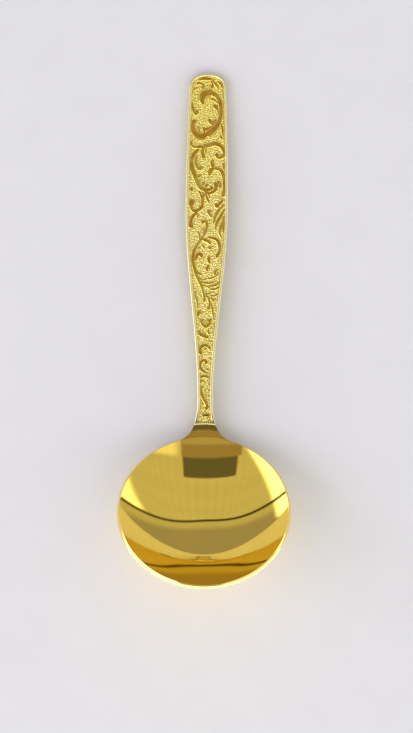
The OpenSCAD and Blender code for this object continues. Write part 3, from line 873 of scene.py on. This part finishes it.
laid_out, fine_lines = [], 0
for widths, bead, *points in strokes:
    places, along = smooth_line(np.array(points) * (handle_w / drawn_w, handle_len / drawn_len))
    middle_u = places[:, 1].mean()
    bolder = np.array(widths) * np.interp(middle_u, swell_at, swell_by)
    radius = stroke_radius(along, bolder, bead * np.interp(middle_u, swell_at, bead_by))
    laid_out.append((places, radius))
    if widths[1] >= large_w and along[-1] > large_len:
        laid_out.append(fine_line(places, radius))
        fine_lines += 1
drawn = np.vstack([np.column_stack(stroke) for stroke in laid_out])
print(f"{len(laid_out)} lines, {fine_lines} of them fine lines beside the large scrolls")

# %% [markdown]
# ## Sweeping and pressing the strokes
#
# A half-round section is swept along all the strokes at once, as a curve with a bevel object, and the curve
# is made a mesh. The wide strokes are then pressed down to the height of the die, so they come out flat on
# top with rounded shoulders. Their lift is how near each corner is to the crown of its stroke, and thin
# strokes have a lower crown.

# %% Sweep the strokes
section_turns = np.radians(np.linspace(0, 180, 11))


def add_spline(curve, columns, radius=None):
    """Adds a line through flat points to a curve, with a radius at each of them or without."""
    spline = curve.splines.new("POLY")
    spline.points.add(len(columns) - 1)
    level, weight = np.zeros(len(columns)), np.ones(len(columns))
    spline.points.foreach_set("co", np.column_stack([columns, level, weight]).ravel())
    if radius is not None:
        spline.points.foreach_set("radius", radius)
    return spline


line = bpy.data.curves.new("strokes", "CURVE")
line.dimensions = "3D"
line.twist_mode = "Z_UP"
for places, radius in laid_out:
    add_spline(line, places, radius)

section = bpy.data.curves.new("stroke section", "CURVE")
section.dimensions = "2D"
half_round = add_spline(section, np.column_stack([np.cos(section_turns), np.sin(section_turns)]))
half_round.use_cyclic_u = True
section_object = bpy.data.objects.new("stroke section", section)
scrolls = bpy.data.objects.new("strokes", line)
for curve_object in (section_object, scrolls):
    bpy.context.collection.objects.link(curve_object)
line.bevel_mode = "OBJECT"
line.bevel_object = section_object
make_active(scrolls)
bpy.ops.object.convert(target="MESH")
scrolls = bpy.context.object
bpy.data.objects.remove(section_object)
print(f"strokes swept: {len(scrolls.data.polygons)} faces, {len(drawn)} places")

# %% Press the strokes to height and lay them in the panel
die_height, sunk = 0.40, 0.05
thin_r, wide_r, thin_crown = 0.15, 0.6, 0.75
flat = coordinates(scrolls)
ring_radius = np.repeat(drawn[:, 2], len(section_turns))
# the lift of each crown also carries the painted dark reflection on the scroll tops, weaker on thin strokes
crown = np.clip(flat[:, 2] / ring_radius, 0, 1) * np.interp(ring_radius, [thin_r, wide_r], [thin_crown, 1.0])
set_lift(scrolls, crown)
height = die_height * np.tanh(np.maximum(flat[:, 2], 0) / die_height)
move_to(scrolls, np.column_stack([flat[:, :2], height - panel_depth - sunk]))
make_active(scrolls)
bpy.ops.object.mode_set(mode="EDIT")
bpy.ops.mesh.select_all(action="SELECT")
bpy.ops.mesh.fill_holes(sides=0)
bpy.ops.mesh.remove_doubles(threshold=0.001)
bpy.ops.mesh.normals_make_consistent(inside=False)
bpy.ops.object.mode_set(mode="OBJECT")
press_handle(scrolls)
print(f"crown runs from {crown.min():.2f} to {crown.max():.2f}")
finish_piece(scrolls, "scrollwork", burnished, angle=50)

# %% [markdown]
# ## Stippled ground
#
# Between the scrolls the die is punched with small dots, which come out as a ground of tiny domes that
# scatters the light. A loose honeycomb of places is drawn, with a seed so that it comes out the same each
# time, and those that the scrolls or the border cover are left out. One dome of a few faces is modelled and
# copied to the rest, a little larger or smaller, and flatter towards the step.

# %% Places of the dots
dot_pitch, dot_r, dot_h, dot_shift = 0.70, 0.33, 0.17, 0.22
field_left, field_right, margin = -8.06, 8.1, 0.05
chance = np.random.default_rng(11)
rows_u = np.arange(border_w + 0.5, handle_len - border_w - 0.3, dot_pitch * math.sqrt(3) / 2)
places = []
for number, u in enumerate(rows_u):
    row_x = np.arange(field_left, field_right, dot_pitch) + dot_pitch / 2 * (number % 2)
    places.append(np.column_stack([row_x, np.full_like(row_x, u)]))
places = np.vstack(places)
places += chance.uniform(-dot_shift, dot_shift, places.shape)
tip_share = np.clip((places[:, 1] - tip_start) / (tip_round - border_w - 0.2), 0, 1)
room = (side_half(places[:, 1]) - border_w - panel_draft) * (1 - tip_share**tip_power) ** (1 / tip_power)
places = places[np.abs(places[:, 0]) < room - margin]
gap = np.array([np.min(np.hypot(drawn[:, 0] - x, drawn[:, 1] - u) - drawn[:, 2]) for x, u in places])
places = places[gap > -margin]
print(f"{len(places)} dots in the ground")

# %% Model one dome and copy it
corners, foot, shoulder_up, shoulder_in = 7, -0.25, 0.66, 0.72
smallest, largest = 0.8, 1.12
flat_from, flat_to, flattest = 10, 55, 0.65
deselect()
bpy.ops.mesh.primitive_circle_add(
    vertices=corners, radius=1, fill_type="NGON", rotation=(0, 0, -math.pi / 2)
)
bpy.ops.object.transform_apply(location=True, rotation=True, scale=True)
dome = bpy.context.object
bpy.ops.object.mode_set(mode="EDIT")
bpy.ops.mesh.select_all(action="SELECT")
bpy.ops.transform.translate(value=(0, 0, foot))
bpy.ops.mesh.extrude_region_move(TRANSFORM_OT_translate={"value": (0, 0, shoulder_up - foot)})
bpy.ops.transform.resize(value=(shoulder_in, shoulder_in, 1), center_override=(0, 0, 0))
bpy.ops.mesh.select_all(action="SELECT")
bpy.ops.mesh.normals_make_consistent(inside=False)
pick("faces", lambda face: facing(face, 2, 1))
bpy.ops.mesh.poke(offset=1 - shoulder_up)
bpy.ops.object.mode_set(mode="OBJECT")
dome_points = coordinates(dome)
dome_faces = [list(face.vertices) for face in dome.data.polygons]
bpy.data.objects.remove(dome)

size = chance.uniform(smallest, largest, len(places))
flatter = np.interp(places[:, 1], [flat_from, flat_to], [flattest, 1.0])
points = dome_points[None] * np.stack([size * dot_r, size * dot_r, size * flatter * dot_h], -1)[:, None]
points += np.column_stack([places, np.full(len(places), -panel_depth)])[:, None]
faces = [[i + k * len(dome_points) for i in face] for k in range(len(places)) for face in dome_faces]
mesh = bpy.data.meshes.new("dots")
mesh.from_pydata(points.reshape(-1, 3).tolist(), [], faces)
dots = bpy.data.objects.new("dots", mesh)
bpy.context.collection.objects.link(dots)
press_handle(dots)
finish_piece(dots, "stippled_ground", stippled, angle=60)

# %% [markdown]
# ## Table
#
# The ladle lies on a plain pale table, large enough to fill the picture. It is one plane with a faint grain
# in its tone and hardly any gloss, so that it takes no attention from the metal. Thickness and edges would
# never be seen.

# %% Table
table_size = 14
deselect()
bpy.ops.mesh.primitive_plane_add(size=table_size, location=(0, 0, 0))
table = bpy.context.object
table.name = "table_top"
pale = bpy.data.materials.new("pale table")
pale.use_nodes = True
pale_shader = pale.node_tree.nodes["Principled BSDF"]
pale_shader.inputs["Roughness"].default_value = 0.7
pale_shader.inputs["Specular IOR Level"].default_value = 0.15
table_place = add(pale.node_tree, "TexCoord").outputs["Object"]
table_grain = noise(pale.node_tree, table_place, 60.0, detail=4.0)
table_tone = blend(pale.node_tree, table_grain, (0.75, 0.74, 0.73, 1), (0.80, 0.79, 0.78, 1))
pale.node_tree.links.new(table_tone, pale_shader.inputs["Base Color"])
table.data.materials.append(pale)
print(f"table: {table_size} m across")

# %% [markdown]
# ## Light tent
#
# Metal shows only what surrounds it, so shiny things are photographed in a tent of pale cloth, whose bright
# and dark parts are chosen for their reflections. Here the tent is half of a large sphere and gives all the
# light. Lamps would show as hard spots in the mirror of the bowl, so the cloth itself glows: its brightness
# is painted on its corners by direction, with soft edges. The camera doesn't see the cloth, only its
# reflections.

# %% Cloth of the tent
tent_r, lowest = 6.0, 0.05
deselect()
bpy.ops.mesh.primitive_uv_sphere_add(segments=360, ring_count=180, radius=tent_r)
tent = bpy.context.object
tent.name = "light_tent"
bpy.ops.object.mode_set(mode="EDIT")
bpy.ops.mesh.select_all(action="SELECT")
bpy.ops.mesh.bisect(plane_co=(0, 0, -0.1), plane_no=(0, 0, 1), clear_inner=True)
bpy.ops.object.mode_set(mode="OBJECT")
side, deep, high = (coordinates(tent) / tent_r).T
high = np.maximum(high, lowest)
across, along = side / high, deep / high  # where the direction meets a flat ceiling one unit up


def rise(value, edge, soft):
    """0 below an edge and 1 above it, with a soft step."""
    t = np.clip((value - edge) / soft + 0.5, 0, 1)
    return t * t * (3 - 2 * t)


def fall(value, edge, soft):
    return 1 - rise(value, edge, soft)


def span(value, low, top, soft):
    return rise(value, low, soft) * fall(value, top, soft)


def paint(mask, brightness, tint=(1, 1, 1)):
    """Lays a brightness over the cloth of the tent where a mask says."""
    glow[:] += mask[:, None] * (brightness * np.array(tint) - glow)


plain = 0.60
folds = 0.025 * np.sin(34 * across) + 0.02 * np.sin(13 * along + 1)
glow = np.repeat(plain + plain * folds[:, None], 3, axis=1)
print(f"tent: {len(glow)} corners, plain brightness {plain}")

# %% Brightness of the tent
COOL, BLUISH, WARM, ROSY = (1, 0.97, 1.2), (1, 1, 1.25), (1, 0.93, 0.85), (1, 0.80, 0.66)

# a seam crosses the tent behind the ladle, and the cloth beyond it is dimmer
seam = deep - 1.02 * high - 0.09 * side - 0.34 * (np.hypot(side, 0.2) - 0.2)
paint(rise(seam, 0.03, 0.05), 0.55)
paint(rise(seam, 0.25, 0.20), 0.36, COOL)

# low on both sides the cloth is bright, for the edges of the handle and the neck
before_seam = fall(seam, 0.0, 0.1)
paint(rise(across, 3.0, 1.4) * before_seam, 2.1)
paint(fall(across, -3.2, 1.4) * before_seam, 2.1)

# in front: brighter cloth on the right, a warm dim apron, and a dark card nearly overhead
paint(rise(across, 0.48, 0.2) * fall(along, -0.22, 0.08), 1.0)
apron = span(across, -0.70, 0.40, 0.06)
paint(apron * fall(along, -0.22, 0.03), 0.34, ROSY)
paint(apron * fall(along, -0.37, 0.03), 0.45, WARM)
paint(span(across, -0.61, 0.38, 0.04) * span(along, -0.22, 0.04, 0.03), 0.13)

# the brightest cloth hangs front left and low in front; last comes the dark line of the seam itself
bright_left = rise(-0.457 * side - 0.513 * deep - 0.475 * high, 0.05, 0.06) * fall(across, -0.6, 0.1)
paint(bright_left, 2.6, BLUISH)
paint(fall(along, -1.1, 0.4), 2.8)
paint(span(seam, 0.0, 0.065, 0.035), 0.05)
print(f"light tent: brightness {glow.min():.2f} to {glow.max():.2f}")

# %% Hang the tent
tent_glow = tent.data.attributes.new("glow", "FLOAT_COLOR", "POINT")
tent_glow.data.foreach_set("color", np.column_stack([glow, np.ones(len(glow))]).astype(np.float32).ravel())
cloth = bpy.data.materials.new("tent cloth")
cloth.use_nodes = True
cloth.node_tree.nodes.clear()
painted = add(cloth.node_tree, "Attribute", {"attribute_name": "glow"}).outputs["Color"]
lamp = add(cloth.node_tree, "Emission", Color=painted, Strength=1.0)
add(cloth.node_tree, "OutputMaterial", Surface=lamp.outputs[0])
tent.data.materials.append(cloth)
tent.visible_camera = False
world = bpy.data.worlds.new("studio")
bpy.context.scene.world = world
world.use_nodes = True
world.node_tree.nodes["Background"].inputs["Color"].default_value = (0.74, 0.73, 0.73, 1)
print("the tent hangs over the table, with a plain pale room around it")

# %% [markdown]
# ## Camera
#
# The picture is taken from nearly overhead, a little towards the front lip, with a long lens. The angles
# and the distance were fitted to the outline of the rim, the step and the tip. The camera is built from its
# own three axes, because a roll is then one more turn of the same kind.

# %% Camera
view_aim = Vector((0.42, 39.19, 10.0)) * MM
view_azimuth, view_elevation, view_roll = (math.radians(angle) for angle in (0.70, 79.57, 0.50))
view_distance = 549.9 * MM
focal_px, frame_px, sensor = 1600, 733, 36.0
back = Vector((
    math.sin(view_azimuth) * math.cos(view_elevation),
    -math.cos(view_azimuth) * math.cos(view_elevation),
    math.sin(view_elevation),
))
right = (-back).cross(Vector((0, 1, 0))).normalized()
up = right.cross(-back)
roll_cos, roll_sin = math.cos(view_roll), math.sin(view_roll)
right, up = roll_cos * right + roll_sin * up, roll_cos * up - roll_sin * right
camera_data = bpy.data.cameras.new("camera")
camera_data.sensor_width = sensor
camera_data.lens = focal_px * sensor / frame_px
camera = bpy.data.objects.new("camera", camera_data)
bpy.context.collection.objects.link(camera)
axes = Matrix((right, up, back)).transposed().to_4x4()
camera.matrix_world = Matrix.Translation(view_aim + back * view_distance) @ axes
bpy.context.scene.camera = camera
bpy.context.scene.view_settings.view_transform = "Standard"
print(f"camera: lens {camera_data.lens:.1f} mm, {view_distance:.3f} m from the ladle")
